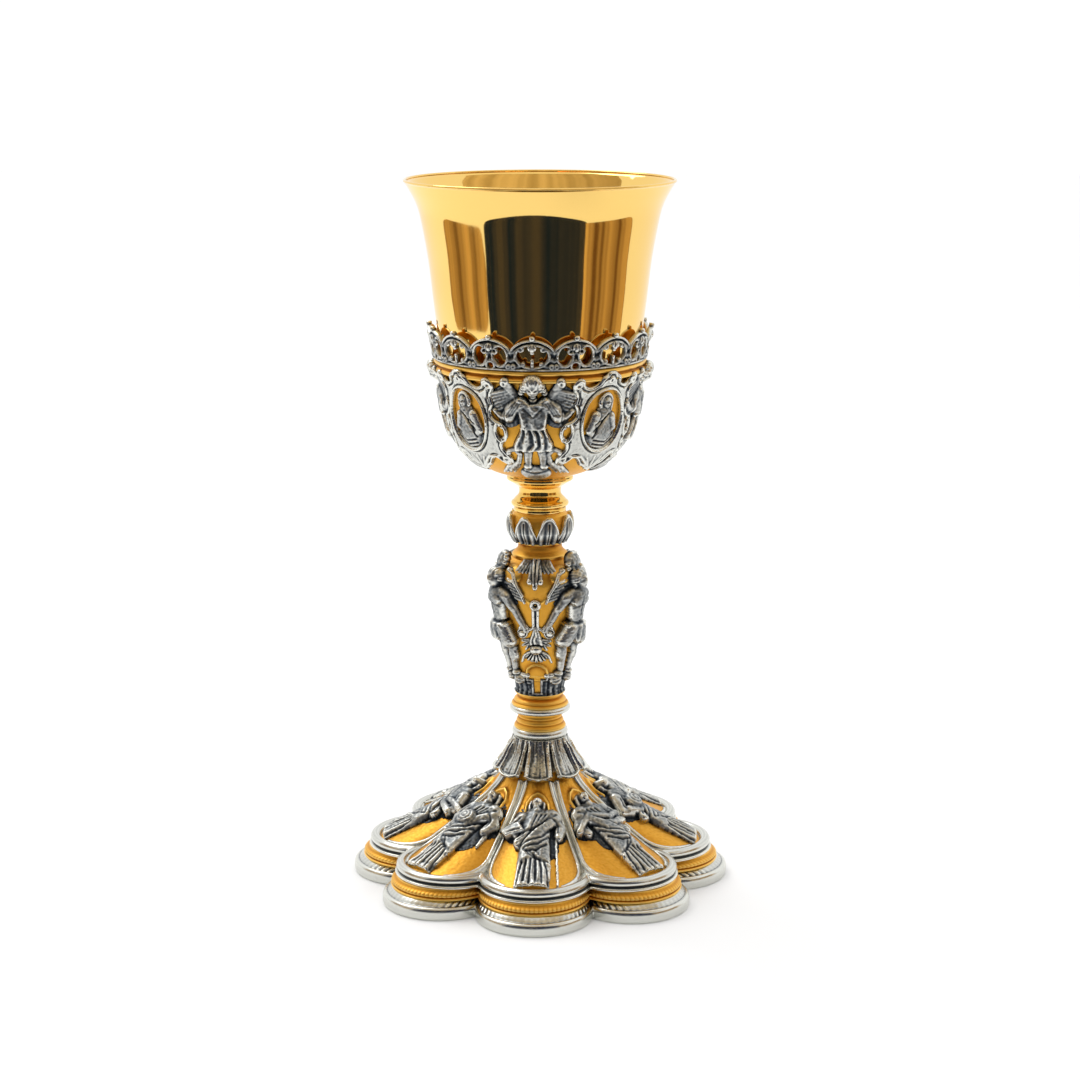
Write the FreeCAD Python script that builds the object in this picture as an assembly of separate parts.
import FreeCAD, Part
import math
import os

from FreeCAD import Vector

# A baroque communion chalice, in millimetres. +Z is up, the front is towards -Y, and the origin is
# the centre of the foot on the table. Every piece of the stem is bored for one long tie rod: the rod
# screws into a boss under the cup, and a nut and washer under the foot draw the stack together.

# ---- driving dimensions -------------------------------------------------------------------------
CHALICE_HEIGHT = 265.8
CUP_RIM_RADIUS = 50.0
CUP_WALL = 0.9
CALYX_WALL = 0.8
ROD_RADIUS = 3.0  # an M6 rod
ROD_CLEARANCE = 0.2  # radial, in every piece that the rod passes through
SPIGOT_RADIUS = 5.0
SPIGOT_HEIGHT = 1.5
SPIGOT_CLEARANCE = 0.05

# The foot's outlines are eight equal arcs: how far out the arcs are centred, and their radius.
LOBES = 8
PLATE_LOBES = (50.0, 22.0)
MOULDING_LOBES = (47.5, 20.9)
FRAME_LOBES = (44.5, 21.5)
DOME_LOBES = (44.5, 17.6)
UNDERSIDE_LOBES = (42.0, 16.6)

GALLERY_ARCHES = 16
CALYX_FIGURES = 4
KNOP_FIGURES = 3
CALYX_TURN = -1.5  # degrees that the calyx and its gallery stand turned from the foot
KNOP_TURN = -4.0  # and the same for the knop

# Heights of the joints in the stack, from the table up.
Z_PLATE_TOP = 6.6
Z_MOULDING_TOP = 10.5
Z_FRAME_TOP = 14.6
Z_DOME_TOP = 44.0
Z_SKIRT_TOP = 54.8
Z_LOWER_RING_TOP = 58.2
Z_LOWER_SPOOL_TOP = 64.4
Z_UPPER_RING_TOP = 67.2
Z_UPPER_SPOOL_TOP = 71.5
Z_KNOP_BASE_TOP = 78.0
Z_KNOP_TOP = 124.8
Z_LOWER_COLLAR_TOP = 131.2
Z_BALL_TOP = 142.5
Z_UPPER_COLLAR_TOP = 157.2
Z_CUP_BOTTOM = 160.0
Z_CALYX_TOP = 196.0
Z_RIM_BAND_TOP = 200.5
Z_GALLERY_TOP = 213.4

UP = Vector(0, 0, 1)
OUTWARD = Vector(0, -1, 0)  # away from the axis, at the front
AXIS_BASE = Vector(0, 0, 0)


# ---- helpers ------------------------------------------------------------------------------------
def flat(r, z):
    """A point of a turned outline, in the XZ plane."""
    return Vector(r, 0, z)


def path(steps):
    """Edges through the steps: (r, z) is a straight run, (r, z, via_r, via_z) an arc."""
    edges = []
    here = flat(*steps[0][:2])
    for step in steps[1:]:
        there = flat(*step[:2])
        if len(step) == 4:
            edges.append(Part.Arc(here, flat(*step[2:]), there).toShape())
        else:
            edges.append(Part.makeLine(here, there))
        here = there
    return edges


def turn(edges):
    """The solid that a closed outline sweeps about the Z axis."""
    return Part.Face(Part.Wire(edges)).revolve(AXIS_BASE, UP, 360)


def lathe(steps):
    """A turned solid from the steps of its closed outline."""
    return turn(path([*steps, steps[0]]))


def spline(points):
    """A smooth edge through points of a turned outline."""
    curve = Part.BSplineCurve()
    curve.interpolate([flat(*p) for p in points])
    return [curve.toShape()]


def sweeps(points):
    """Edges through an odd number of points: an arc from each to the next but one."""
    arcs = zip(points[::2], points[1::2], points[2::2])
    return [Part.Arc(flat(*start), flat(*via), flat(*end)).toShape() for start, via, end in arcs]


def envelope(points, top, through=spline):
    """The solid inside an outline that runs through points from its mouth down, filled up to top."""
    first, last = points[0], points[-1]
    edges = through(points)
    if last[0] > 0:
        edges += path([last, (0, last[1])])
    edges += path([(0, last[1]), (0, top)])
    edges += path([(0, top), (first[0], top)])
    if top > first[1]:
        edges += path([(first[0], top), first])
    return turn(edges)


def disc(radius, low, high):
    """A plain cylinder on the axis."""
    return Part.makeCylinder(radius, high - low, Vector(0, 0, low))


def rod_bore(low, high):
    """The hole for the tie rod."""
    return disc(ROD_RADIUS + ROD_CLEARANCE, low, high)


def spigot(z):
    """The short tenon on top of a stem piece, rooted a little way inside it."""
    return disc(SPIGOT_RADIUS, z - 1.0, z + SPIGOT_HEIGHT)


def spigot_socket(z):
    """The recess, from z upwards, that the spigot of the piece below registers in."""
    return disc(SPIGOT_RADIUS + SPIGOT_CLEARANCE, z, z + SPIGOT_HEIGHT + SPIGOT_CLEARANCE)


def stacked(body, low, high):
    """A stem piece made ready for the stack: spigot above, socket below, bore right through."""
    bore = rod_bore(low - 1, high + SPIGOT_HEIGHT + 1)
    return body.fuse(spigot(high)).cut(spigot_socket(low)).cut(bore).removeSplitter()


def around(shape, count, first=0.0):
    """count copies of shape, evenly spaced about the Z axis, the first turned by first degrees."""
    copies = []
    for i in range(count):
        made = shape.copy()
        made.rotate(AXIS_BASE, UP, first + 360.0 * i / count)
        copies.append(made)
    return copies


def fused(shapes):
    """All the shapes as one solid."""
    return shapes[0].multiFuse(shapes[1:]).removeSplitter()


def ball(centre, radius):
    return Part.makeSphere(radius, Vector(*centre))


def limb(start, end, r_start, r_end):
    """A round-ended limb from start to end."""
    a, b = Vector(*start), Vector(*end)
    run = b - a
    if abs(r_start - r_end) < 1e-6:
        bone = Part.makeCylinder(r_start, run.Length, a, run)
    else:
        bone = Part.makeCone(r_start, r_end, run.Length, a, run)
    return bone.multiFuse([Part.makeSphere(r_start, a), Part.makeSphere(r_end, b)])


def mirrored_pair(shape):
    """The shape and its mirror image across the front's centre plane."""
    return [shape, shape.mirror(AXIS_BASE, Vector(1, 0, 0))]


def lobed_wire(lobes, z):
    """A lobed outline at height z; a lobe centre at 0 gives a plain circle."""
    centre, radius = lobes
    half = math.pi / LOBES
    cusp = centre * math.cos(half) + math.sqrt(radius**2 - (centre * math.sin(half)) ** 2)
    arcs = []
    for i in range(LOBES):
        middle = 2 * half * i - math.pi / 2
        start, tip, end = [
            Vector(r * math.cos(angle), r * math.sin(angle), z)
            for r, angle in ((cusp, middle - half), (centre + radius, middle), (cusp, middle + half))
        ]
        arcs.append(Part.Arc(start, tip, end).toShape())
    return Part.Wire(arcs)


def lobed_stack(sections, ruled=True):
    """A solid through lobed outlines, each given as (lobes, height)."""
    return Part.makeLoft([lobed_wire(lobes, z) for lobes, z in sections], True, ruled)


def inset(lobes, distance):
    """The lobed outline that runs distance inside another."""
    return (lobes[0], lobes[1] - distance)


def lobes_through(tip, cusp):
    """The lobed outline with these radii at the lobes' tips and at the cusps between them."""
    centre = (tip**2 - cusp**2) / (2 * (tip - cusp * math.cos(math.pi / LOBES)))
    return (centre, tip - centre)


def save(name, shape):
    """Writes one sub-part to its own STEP file."""
    if not shape.isValid():
        raise RuntimeError(f"{name} is not a valid shape")
    if not shape.Solids or min(solid.Volume for solid in shape.Solids) < 0.01:
        raise RuntimeError(f"{name} has no solid, or a sliver among its solids")
    shape.exportStep(f"parts/{name}.step")
    print(f"{name:22s} solids {len(shape.Solids):2d}  volume {shape.Volume / 1000:8.3f} cm3")


def largest(shape):
    """The biggest solid of a shape, without the crumbs that a cut leaves."""
    return max(shape.Solids, key=lambda solid: solid.Volume)


# ---- cup ----------------------------------------------------------------------------------------
LIP_RADIUS = 0.6
CUP_OUTLINE = [
    (CUP_RIM_RADIUS - 0.1, CHALICE_HEIGHT - LIP_RADIUS),
    (47.7, 261.7),
    (45.2, 256.6),
    (43.6, 250.6),
    (41.1, 236.4),
    (39.3, 221.0),
    (37.7, 209.0),
    (35.8, 198.0),
    (33.4, 186.0),
    (30.0, 175.0),
    (24.6, 166.8),
    (16.0, 161.7),
    (6.0, Z_CUP_BOTTOM),
]


def cup():
    """The spun drinking bowl with its rolled lip."""
    inner = [(r - CUP_WALL, z) for r, z in CUP_OUTLINE[:8]]
    inner += [
        (32.5, 186.3),
        (29.2, 175.6),
        (24.0, 167.7),
        (15.7, 162.7),
        (6.0, Z_CUP_BOTTOM + CUP_WALL),
    ]
    top = CUP_OUTLINE[0][1]
    bowl = envelope(CUP_OUTLINE, top, sweeps).cut(envelope(inner, top, sweeps))
    lip = Part.makeTorus(CUP_RIM_RADIUS - LIP_RADIUS, LIP_RADIUS, Vector(0, 0, top))
    return fused([bowl, lip])


def cup_boss():
    """Brazed under the bowl; its tapped hole takes the top of the tie rod."""
    flange_low, spigot_low = 158.0, 153.4
    body = disc(8.0, flange_low, Z_CUP_BOTTOM + 1.2)
    body = body.fuse(disc(SPIGOT_RADIUS, spigot_low, flange_low))
    body = body.cut(disc(ROD_RADIUS, spigot_low - 1, spigot_low + 4.6))
    return body.cut(envelope(CUP_OUTLINE, CHALICE_HEIGHT - LIP_RADIUS, sweeps)).removeSplitter()


# ---- calyx --------------------------------------------------------------------------------------
CALYX_OUTLINE = [
    (36.8, Z_CALYX_TOP),
    (35.5, 189.0),
    (34.5, 182.0),
    (32.4, 173.5),
    (29.0, 167.0),
    (24.4, 162.1),
    (18.6, 158.6),
    (12.4, 156.6),
]


def calyx_envelope(rise=0.0):
    """All the space within the calyx's outside, its skin raised by rise."""
    return envelope([(r + rise, z) for r, z in CALYX_OUTLINE], Z_CALYX_TOP)


def calyx_shell():
    """The false cup that carries the applied ornament; the cup boss passes through its floor."""
    inner = [(r - CALYX_WALL, z) for r, z in CALYX_OUTLINE[:4]]
    inner += [(28.3, 167.6), (23.8, 162.8), (18.3, 159.4), (12.4, 157.5)]
    shell = calyx_envelope().cut(envelope(inner, Z_CALYX_TOP))
    return shell.cut(disc(SPIGOT_RADIUS + SPIGOT_CLEARANCE, 150, 160)).removeSplitter()


def calyx_rim_band():
    """The moulded band round the calyx's mouth: two beads with a hollow between them."""
    inner, outer, low = 36.5, 39.3, Z_CALYX_TOP
    return lathe(
        [
            (inner, low),
            (outer - 0.5, low),
            (outer - 0.5, low + 1.6, outer + 0.2, low + 0.8),
            (outer - 0.7, low + 1.9),
            (outer - 0.7, low + 2.6),
            (outer - 0.4, Z_RIM_BAND_TOP, outer + 0.3, low + 3.6),
            (inner, Z_RIM_BAND_TOP),
        ]
    )


def gallery():
    """The pierced cresting: sixteen arches on a ring that leans outwards."""
    low, thickness = Z_RIM_BAND_TOP, 1.2
    foot_radius, top_radius, finial = 38.2, 40.2, 0.9
    arch_top = Z_GALLERY_TOP - 1.5 * finial
    ring = lathe(
        [
            (foot_radius, low),
            (foot_radius + thickness, low),
            (top_radius + thickness, arch_top),
            (top_radius, arch_top),
        ]
    )
    arch_radius = math.pi * (top_radius + thickness) / GALLERY_ARCHES - 0.15
    spring_z = arch_top - arch_radius
    opening_radius, sill, stem_width = arch_radius - 2.0, low + 1.7, 1.8
    reach, start = 10.0, -(foot_radius - 4.0)

    def bar(width, z_low, z_high):
        return Part.makeBox(width, reach, z_high - z_low, Vector(-width / 2, start - reach, z_low))

    def roundel(radius):
        return Part.makeCylinder(radius, reach, Vector(0, start, spring_z), OUTWARD)

    # A small upright stem stands in the middle of each opening, so an opening is two holes.
    opening = roundel(opening_radius).fuse(bar(2 * opening_radius, sill, spring_z))
    opening = opening.cut(bar(stem_width, low, Z_GALLERY_TOP))
    # The notch takes away what stands above and between two arches.
    side = 2 * math.tan(math.pi / GALLERY_ARCHES) * (top_radius + thickness + 1)
    notch = bar(side, spring_z, Z_GALLERY_TOP).cut(roundel(arch_radius))
    body = ring.cut(Part.makeCompound(around(opening, GALLERY_ARCHES)))
    body = body.cut(Part.makeCompound(around(notch, GALLERY_ARCHES)))
    middle = -(top_radius + thickness / 2)
    knob = limb((0, middle, arch_top - 1.2), (0, middle, Z_GALLERY_TOP - finial), 0.5, finial)
    return fused([body, *around(knob, GALLERY_ARCHES)])


def on_calyx(side, z, rise=0.0):
    """A point rise above the calyx's skin, side to the right of the front."""
    for (r_high, z_high), (r_low, z_low) in zip(CALYX_OUTLINE, CALYX_OUTLINE[1:]):
        if z_low <= z <= z_high:
            radius = r_low + (r_high - r_low) * (z - z_low) / (z_high - z_low) + rise
            return (side, -math.sqrt(radius**2 - side**2), z)
    raise ValueError(f"the calyx has no skin at {z}")


def calyx_angel():
    """A standing winged angel in a belted tunic, cast and soldered to the calyx."""
    halves = [
        limb(on_calyx(4.4, 188.5, 0.6), on_calyx(8.0, 183.5, 0.4), 2.0, 1.5),
        limb(on_calyx(8.0, 183.5, 0.4), on_calyx(12.2, 184.5, 0.2), 1.4, 1.1),
        limb(on_calyx(4.0, 189.5, 0.0), on_calyx(9.6, 193.5, 0.2), 1.5, 1.8),
        limb(on_calyx(9.4, 193.5, 0.2), on_calyx(12.2, 188.5, 0.0), 1.7, 1.0),
        limb(on_calyx(2.0, 171.5, 0.6), on_calyx(1.8, 165.0, 0.8), 1.7, 1.4),
    ]
    body = [
        ball(on_calyx(0, 194.2, 2.0), 3.7),
        limb(on_calyx(0, 187.6, 0.8), on_calyx(0, 181.5, 0.8), 4.2, 3.2),
        limb(on_calyx(0, 179.5, 0.6), on_calyx(0, 174.0, 0.6), 3.4, 5.0),
        limb(on_calyx(-1.8, 162.2, 0.6), on_calyx(1.8, 162.2, 0.6), 2.5, 2.5),
    ]
    for half in halves:
        body += mirrored_pair(half)
    keepout = calyx_envelope().fuse([disc(39.7, Z_CALYX_TOP, 202), disc(13.0, 150, Z_UPPER_COLLAR_TOP)])
    return largest(fused(body).cut(keepout))


MEDALLION_Z = 181.6
MEDALLION_HALF_WIDTH, MEDALLION_HALF_HEIGHT = 8.8, 11.2
CARTOUCHE_THICKNESS = 1.2


def oval_bar(half_width, half_height, side, z):
    """A bar with an oval section that points out of the calyx's front."""
    wide = half_width > half_height
    edge = Part.Ellipse(AXIS_BASE, max(half_width, half_height), min(half_width, half_height)).toShape()
    face = Part.Face(Part.Wire([edge]))
    face.rotate(AXIS_BASE, UP, 0 if wide else 90)
    face.rotate(AXIS_BASE, Vector(1, 0, 0), 90)
    face.translate(Vector(side, -10, z))
    return face.extrude(Vector(0, -40, 0))


def calyx_cartouche():
    """The scrolled silver frame round each medallion, bent to the calyx."""
    plan = [oval_bar(11.4, 13.6, 0, MEDALLION_Z), oval_bar(3.6, 3.0, 0, 193.2)]
    for half in (
        oval_bar(2.8, 3.0, 11.2, 190.4),
        oval_bar(3.6, 4.6, 12.0, 177.0),
        oval_bar(2.6, 2.4, 11.4, 168.4),
    ):
        plan += mirrored_pair(half)
    window = oval_bar(MEDALLION_HALF_WIDTH, MEDALLION_HALF_HEIGHT, 0, MEDALLION_Z)
    skin = calyx_envelope(CARTOUCHE_THICKNESS).cut(calyx_envelope())
    return largest(skin.common(fused(plan).cut(window)))


def calyx_relief():
    """The half-length robed figure inside each medallion."""
    body = fused(
        [
            ball(on_calyx(0, 187.2, 0.5), 2.1),
            limb(on_calyx(0, 183.2, 0.4), on_calyx(0, 175.6, 0.2), 2.8, 3.9),
            limb(on_calyx(-3.4, 180.9, 0.9), on_calyx(3.0, 179.2, 1.6), 1.3, 1.1),
        ]
    )
    return largest(body.cut(calyx_envelope()))


# ---- upper stem ---------------------------------------------------------------------------------
def upper_collar():
    """The gilded turned collar that carries the calyx in its dished top."""
    body = lathe(
        [
            (0, Z_BALL_TOP),
            (9.9, Z_BALL_TOP),
            (9.9, 144.0),
            (10.1, 144.6),
            (10.1, 146.2, 10.9, 145.4),
            (9.3, 147.4),
            (7.9, 150.3, 8.0, 148.8),
            (8.4, 151.9),
            (11.9, 154.2, 10.4, 152.6),
            (12.5, 155.2, 12.5, 154.6),
            (12.2, 156.0),
            (12.2, Z_UPPER_COLLAR_TOP),
            (0, Z_UPPER_COLLAR_TOP),
        ]
    )
    recess = disc(SPIGOT_RADIUS + SPIGOT_CLEARANCE, 153.3, 160)
    body = body.cut(recess).cut(spigot_socket(Z_BALL_TOP)).cut(rod_bore(140, 160))
    return largest(body.cut(calyx_envelope()))


BALL_RADIUS, BALL_CENTRE_Z = 11.1, 137.0
LEAF_THICKNESS = 0.8


def ball_sphere(rise=0.0):
    return ball((0, 0, BALL_CENTRE_Z), BALL_RADIUS + rise)


def leaf_ball():
    """The small gilded ball knot under the collar."""
    low, high = Z_LOWER_COLLAR_TOP, Z_BALL_TOP
    return stacked(ball_sphere().common(disc(20, low, high)), low, high)


def ball_leaves():
    """The cup of upright silver leaves that the ball sits in."""
    low, valley, tip = Z_LOWER_COLLAR_TOP, 136.2, 140.2
    skin = ball_sphere(LEAF_THICKNESS).cut(ball_sphere())
    cup_part = skin.common(disc(20, low, valley))
    leaf = skin.common(limb((0, -11, valley - 1.0), (0, -11, tip - 1.5), 3.4, 1.5))
    return fused([cup_part, *around(leaf, LOBES, 180.0 / LOBES)])


def lower_collar():
    """The gilded collar between the ball and the knop."""
    low, high = Z_KNOP_TOP, Z_LOWER_COLLAR_TOP
    outline = [
        (0, low),
        (10.2, low),
        (10.1, 126.2, 10.7, 125.5),
        (8.2, 128.9, 8.5, 127.2),
        (8.3, 129.9),
        (8.9, 130.5),
        (8.9, high),
        (0, high),
    ]
    return stacked(lathe(outline), low, high)


# ---- knop ---------------------------------------------------------------------------------------
KNOP_OUTLINE = [
    (10.4, Z_KNOP_TOP),
    (14.2, 122.6),
    (16.0, 118.0),
    (15.7, 112.0),
    (13.9, 100.0),
    (11.6, 88.0),
    (9.6, Z_KNOP_BASE_TOP),
]


def knop_envelope(rise=0.0):
    return envelope([(r + rise, z) for r, z in KNOP_OUTLINE], Z_KNOP_TOP)


def knop_body():
    """The gilded vase of the knop, hollow in the middle and bored for the rod."""
    floor, ceiling = 83.0, 120.0
    hollow = lathe([(0, floor), (7.6, floor), (12.8, 111.0), (12.8, 116.5), (8.6, ceiling), (0, ceiling)])
    return stacked(knop_envelope().cut(hollow), Z_KNOP_BASE_TOP, Z_KNOP_TOP)


def knop_leaf_cap():
    """The silver crown of hanging leaves on the knop's shoulder."""
    skin = knop_envelope(0.8).cut(knop_envelope())
    crown = skin.common(disc(20, Z_KNOP_TOP - 1.6, Z_KNOP_TOP))
    leaf = skin.common(limb((0, -12.5, 123.0), (0, -16.2, 117.2), 2.2, 1.3))
    return fused([crown, *around(leaf, 2 * KNOP_FIGURES)])


def knop_base_outline():
    """The outside of the silver cup under the knop."""
    return lathe(
        [
            (0, Z_UPPER_SPOOL_TOP),
            (9.0, Z_UPPER_SPOOL_TOP),
            (9.0, 72.5, 9.5, 72.0),
            (8.7, 74.8, 8.6, 73.6),
            (9.5, Z_KNOP_BASE_TOP),
            (0, Z_KNOP_BASE_TOP),
        ]
    )


def knop_base_cup():
    """The silver cup that the knop stands in."""
    return stacked(knop_base_outline(), Z_UPPER_SPOOL_TOP, Z_KNOP_BASE_TOP)


def knop_figure():
    """A nude standing boy at each corner of the knop, with a leafy scroll above his head."""
    body = fused(
        [
            ball((-1.0, -18.2, 117.6), 3.3),
            limb((0, -16.8, 111.8), (0, -15.8, 104.0), 3.6, 2.7),
            limb((0, -15.8, 102.0), (0, -15.4, 98.5), 3.0, 3.3),
            limb((-1.9, -16.2, 98.5), (-3.2, -16.4, 91.5), 2.1, 1.6),
            limb((1.9, -16.2, 98.5), (1.4, -14.0, 89.0), 2.1, 1.5),
            limb((-3.2, -16.4, 91.5), (-1.6, -11.8, 81.6), 1.5, 1.1),
            limb((1.4, -14.0, 89.0), (1.6, -11.4, 81.6), 1.4, 1.1),
            limb((-3.2, -16.2, 112.0), (-6.4, -14.2, 104.0), 1.5, 1.2),
            limb((3.2, -16.2, 112.0), (6.4, -14.2, 104.0), 1.5, 1.2),
            limb((-6.4, -14.2, 104.0), (-3.6, -16.4, 99.0), 1.2, 1.0),
            limb((6.4, -14.2, 104.0), (3.6, -16.4, 99.0), 1.2, 1.0),
            limb((0, -15.6, 119.0), (0, -15.2, 125.6), 2.6, 2.6),
            limb((-2.2, -11.4, 79.6), (2.2, -11.4, 79.6), 1.7, 1.7),
        ]
    )
    keepout = knop_envelope().fuse([knop_base_outline(), knop_leaf_cap(), disc(10.8, Z_KNOP_TOP, 130)])
    return largest(body.cut(keepout))


def knop_scroll():
    """The strapwork that fills the knop between two figures."""

    def bar(x_low, x_high, z_low, z_high):
        return Part.makeBox(x_high - x_low, 30, z_high - z_low, Vector(x_low, -30, z_low))

    def roundel(side, z, radius):
        return Part.makeCylinder(radius, 30, Vector(side, 0, z), OUTWARD)

    plan = [
        roundel(0, 109.0, 1.6),
        bar(-0.6, 0.6, 98.0, 108.5),
        bar(-4.4, 4.4, 99.6, 101.2),
        roundel(0, 94.0, 2.9),
        bar(-1.4, 1.4, 91.0, 100.0),
        *mirrored_pair(roundel(4.6, 99.4, 1.8)),
    ]
    skin = knop_envelope(1.2).cut(knop_envelope())
    return largest(skin.common(fused(plan)))


# ---- lower stem ---------------------------------------------------------------------------------
def stem_spool(low, high, wide, neck):
    """A gilded bell of the stem: two steps of a flare that narrows upwards to a neck."""
    rise = (high - low) / 4
    outline = [
        (0, low),
        (wide, low),
        (wide - 0.9, low + rise, wide - 0.2, low + 0.6 * rise),
        (wide - 1.1, low + 1.2 * rise),
        (neck + 0.3, low + 2.6 * rise, wide - 1.7, low + 2.0 * rise),
        (neck, high - 0.4),
        (neck, high),
        (0, high),
    ]
    return stacked(lathe(outline), low, high)


def stem_ring(low, high, wide):
    """A silver ring of the stem with a fully rounded edge."""
    half = (high - low) / 2
    outline = [
        (0, low),
        (wide - half, low),
        (wide - half, high, wide, low + half),
        (0, high),
    ]
    return stacked(lathe(outline), low, high)


def leaf_skirt():
    """The silver bell of eight broad leaves over the top of the foot."""
    core = lathe(
        [
            (0, Z_DOME_TOP),
            (12.8, Z_DOME_TOP),
            (10.3, Z_SKIRT_TOP, 10.8, 49.0),
            (0, Z_SKIRT_TOP),
        ]
    )
    petal = limb((0, -8.6, 53.0), (0, -12.3, 45.2), 1.6, 3.4)
    tip = limb((-2.6, -15.4, 42.6), (2.6, -15.4, 42.6), 1.7, 1.7)
    body = fused([core, *around(petal.fuse(tip), LOBES)])
    body = body.cut(disc(30, Z_SKIRT_TOP, 60)).cut(foot_dome_envelope())
    return stacked(body, Z_DOME_TOP, Z_SKIRT_TOP)


# ---- foot ---------------------------------------------------------------------------------------
DOME_WALL = 1.2
CROWN_THICKNESS = 2.4
DOME_CROWN_RADIUS = 12.8
# The dome's ridge line over the middle of a lobe, as (radius, height); it is round at the crown, and
# its lobes deepen evenly down to the frame.
DOME_RIDGE = [
    (DOME_CROWN_RADIUS, Z_DOME_TOP),
    (16.0, 38.4),
    (22.0, 33.4),
    (31.0, 28.4),
    (42.0, 22.6),
    (53.0, 17.4),
]


def outline_reach(lobes):
    """How far out a lobed outline is at its tips and at its cusps."""
    centre, radius = lobes
    half = math.pi / LOBES
    return centre + radius, centre * math.cos(half) + math.sqrt(radius**2 - (centre * math.sin(half)) ** 2)


def dome_sections(rise=0.0):
    """The dome's outlines from the moulding up, with its skin raised by rise."""
    tip, cusp = outline_reach(DOME_LOBES)
    sections = [(DOME_LOBES, Z_MOULDING_TOP), (DOME_LOBES, 13.4 + rise)]
    for radius, z in reversed(DOME_RIDGE[1:]):
        share = (radius - DOME_CROWN_RADIUS) / (tip - DOME_CROWN_RADIUS)
        at_cusp = DOME_CROWN_RADIUS + share * (cusp - DOME_CROWN_RADIUS)
        sections.append((lobes_through(radius + 0.6 * rise, at_cusp + 0.6 * rise), z + 0.8 * rise))
    sections.append(((0.0, DOME_CROWN_RADIUS + rise), Z_DOME_TOP))
    return sections


def foot_dome_envelope(rise=0.0):
    return lobed_stack(dome_sections(rise))


def foot_dome():
    """The gilded dome of the foot, hollow below, with a bored crown for the rod."""
    inner = [(inset(lobes, 0.5), z - DOME_WALL) for lobes, z in dome_sections()[:-1]]
    inner[0] = (inner[0][0], Z_MOULDING_TOP)
    inner.append(((0.0, DOME_CROWN_RADIUS - DOME_WALL), Z_DOME_TOP - CROWN_THICKNESS))
    body = foot_dome_envelope().cut(lobed_stack(inner)).fuse(spigot(Z_DOME_TOP))
    return body.cut(rod_bore(10, 50)).removeSplitter()


RIB_WIDTH = 3.0
PANEL_ROUND_CENTRE = 45.4


def panel_prism():
    """The plan of one panel of the foot: a round end, with sides that run in along the ribs."""
    half = math.pi / LOBES
    point_radius = RIB_WIDTH / 2 / math.sin(half)
    run = PANEL_ROUND_CENTRE - point_radius
    round_radius = run * math.sin(half)
    side = run * math.cos(half)
    point = Vector(0, -point_radius, 0)
    touch = Vector(side * math.sin(half), -point_radius - side * math.cos(half), 0)
    mirror = Vector(-touch.x, touch.y, 0)
    edges = [
        Part.makeLine(point, touch),
        Part.Arc(touch, Vector(0, -(PANEL_ROUND_CENTRE + round_radius), 0), mirror).toShape(),
        Part.makeLine(mirror, point),
    ]
    return Part.Face(Part.Wire(edges)).extrude(Vector(0, 0, 60))


def foot_rib():
    """The silver rib between the first two panels; it forks where it meets the frame."""
    skin = foot_dome_envelope(0.8).cut(foot_dome_envelope())
    skin = skin.cut(Part.makeCompound(around(panel_prism(), LOBES)))
    web = skin.cut(disc(80, 0, Z_FRAME_TOP).fuse(disc(17.4, 0, 60)))
    cusp = Vector(FRAME_LOBES[0] * math.sin(math.pi / LOBES), -FRAME_LOBES[0] * math.cos(math.pi / LOBES), 0)
    return min(web.Solids, key=lambda solid: (solid.CenterOfMass - cusp).Length)


def foot_apostle():
    """A robed standing saint, cast in high relief and soldered to its panel."""
    body = fused(
        [
            ball((0, -23.4, 36.6), 2.6),
            limb((0, -27.4, 33.4), (0.3, -37.0, 27.6), 3.4, 4.0),
            limb((0.3, -37.0, 27.6), (0.0, -54.6, 17.4), 4.0, 4.6),
            limb((-2.6, -29.0, 33.4), (-5.4, -33.5, 30.4), 1.6, 1.2),
            limb((2.6, -29.0, 33.4), (5.2, -36.0, 29.0), 1.6, 1.2),
        ]
    )
    keepout = foot_dome_envelope().fuse([disc(80, 0, Z_FRAME_TOP), disc(20.0, 38.6, 60)])
    return largest(body.cut(keepout).common(panel_prism()))


def lobed_ring(outline, hollow, low, high):
    """A lobed moulding: the stack of its outline's sections, hollowed by a lobed prism."""
    return lobed_stack(outline).cut(lobed_stack([(hollow, low - 1), (hollow, high + 1)]))


def foot_frame():
    """The silver frame round the dome: a lower bead, a groove and an upper bead."""
    low, high = Z_MOULDING_TOP, Z_FRAME_TOP
    profile = [(0.3, 0.0), (0.0, 0.5), (0.3, 1.1), (1.3, 1.3), (1.4, 2.0), (0.7, 2.4), (0.8, 3.3), (1.6, 4.0)]
    outline = [(inset(FRAME_LOBES, step), low + up) for step, up in profile]
    outline.append((inset(FRAME_LOBES, 3.2), high))
    return lobed_ring(outline, DOME_LOBES, low, high)


def foot_gold_moulding():
    """The gilded moulding: a fillet, a bead and a hollow."""
    low, high = Z_PLATE_TOP, Z_MOULDING_TOP
    profile = [(0.2, 0.0), (0.0, 0.4), (0.8, 0.9), (0.5, 1.5), (0.9, 2.1), (1.9, 2.8), (2.3, high - low)]
    outline = [(inset(MOULDING_LOBES, step), low + up) for step, up in profile]
    return lobed_ring(outline, UNDERSIDE_LOBES, low, high)


def foot_base_plate():
    """The silver plate that the chalice stands on: a rounded rim, hollow behind, and a sloping border."""
    profile = [(0.7, 0.0), (0.15, 0.8), (0.0, 2.2), (0.3, 3.6), (1.1, 4.5)]
    outline = [(inset(PLATE_LOBES, step), z) for step, z in profile]
    outline.append((MOULDING_LOBES, Z_PLATE_TOP))
    rim_width, floor = 2.6, 4.2
    hollow = inset(PLATE_LOBES, rim_width)
    ring = lobed_ring(outline, UNDERSIDE_LOBES, 0, Z_PLATE_TOP)
    return ring.cut(lobed_stack([(hollow, -1), (hollow, floor)]))


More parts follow.
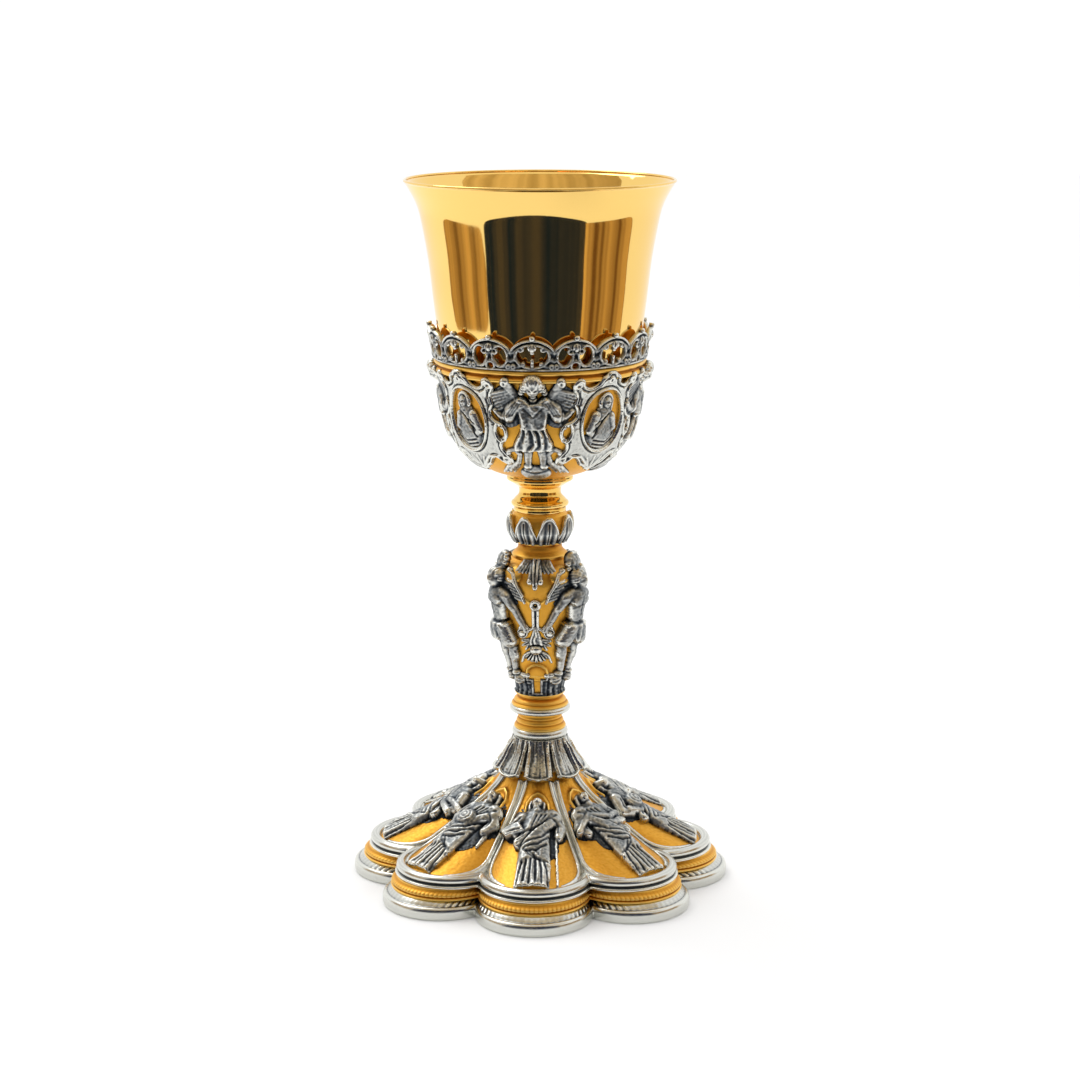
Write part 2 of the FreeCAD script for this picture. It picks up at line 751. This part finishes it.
# ---- fixings ------------------------------------------------------------------------------------
CROWN_UNDERSIDE = Z_DOME_TOP - CROWN_THICKNESS
WASHER_THICKNESS = 1.6
NUT_THICKNESS = 5.0


def tie_rod():
    """The long rod that holds the chalice together; its threads are left plain."""
    return disc(ROD_RADIUS, CROWN_UNDERSIDE - WASHER_THICKNESS - NUT_THICKNESS - 2.4, 158.0)


def rod_washer():
    """The washer that bears on the underside of the foot's crown."""
    low = CROWN_UNDERSIDE - WASHER_THICKNESS
    return disc(9.0, low, CROWN_UNDERSIDE).cut(rod_bore(30, 50))


def rod_nut():
    """The hexagon nut on the rod's lower end."""
    corner_radius = 5.75
    low = CROWN_UNDERSIDE - WASHER_THICKNESS - NUT_THICKNESS
    angles = [math.radians(60 * i) for i in range(7)]
    corners = [Vector(corner_radius * math.cos(a), corner_radius * math.sin(a), low) for a in angles]
    hexagon = Part.Face(Part.makePolygon(corners)).extrude(Vector(0, 0, NUT_THICKNESS))
    return hexagon.cut(disc(ROD_RADIUS, 20, 60))


# ---- the whole chalice --------------------------------------------------------------------------
def main():
    os.makedirs("parts", exist_ok=True)
    single = {
        "tie_rod": tie_rod(),
        "rod_washer": rod_washer(),
        "rod_nut": rod_nut(),
        "foot_base_plate": foot_base_plate(),
        "foot_gold_moulding": foot_gold_moulding(),
        "foot_frame": foot_frame(),
        "foot_dome": foot_dome(),
        "leaf_skirt": leaf_skirt(),
        "stem_ring_lower": stem_ring(Z_SKIRT_TOP, Z_LOWER_RING_TOP, 10.7),
        "stem_spool_lower": stem_spool(Z_LOWER_RING_TOP, Z_LOWER_SPOOL_TOP, 9.9, 8.2),
        "stem_ring_upper": stem_ring(Z_LOWER_SPOOL_TOP, Z_UPPER_RING_TOP, 11.7),
        "stem_spool_upper": stem_spool(Z_UPPER_RING_TOP, Z_UPPER_SPOOL_TOP, 10.9, 8.2),
        "knop_base_cup": knop_base_cup(),
        "knop_body": knop_body(),
        "lower_collar": lower_collar(),
        "leaf_ball": leaf_ball(),
        "ball_leaves": ball_leaves(),
        "upper_collar": upper_collar(),
        "cup_boss": cup_boss(),
        "calyx_shell": calyx_shell(),
        "calyx_rim_band": calyx_rim_band(),
        "gallery": around(gallery(), 1, CALYX_TURN)[0],
        "cup": cup(),
        "knop_leaf_cap": around(knop_leaf_cap(), 1, KNOP_TURN)[0],
    }
    for name, shape in single.items():
        save(name, shape)
    # Repeated castings: one of them, how many there are and where the first one stands.
    repeated = {
        "foot_rib": (foot_rib(), LOBES, 0.0),
        "foot_apostle": (foot_apostle(), LOBES, 0.0),
        "knop_figure": (knop_figure(), KNOP_FIGURES, KNOP_TURN + 180.0 / KNOP_FIGURES),
        "knop_scroll": (knop_scroll(), KNOP_FIGURES, KNOP_TURN),
        "calyx_angel": (calyx_angel(), CALYX_FIGURES, CALYX_TURN),
        "calyx_cartouche": (calyx_cartouche(), CALYX_FIGURES, CALYX_TURN + 180.0 / CALYX_FIGURES),
        "calyx_relief": (calyx_relief(), CALYX_FIGURES, CALYX_TURN + 180.0 / CALYX_FIGURES),
    }
    for name, (shape, count, first) in repeated.items():
        for number, made in enumerate(around(shape, count, first), start=1):
            save(f"{name}_{number}", made)


main()
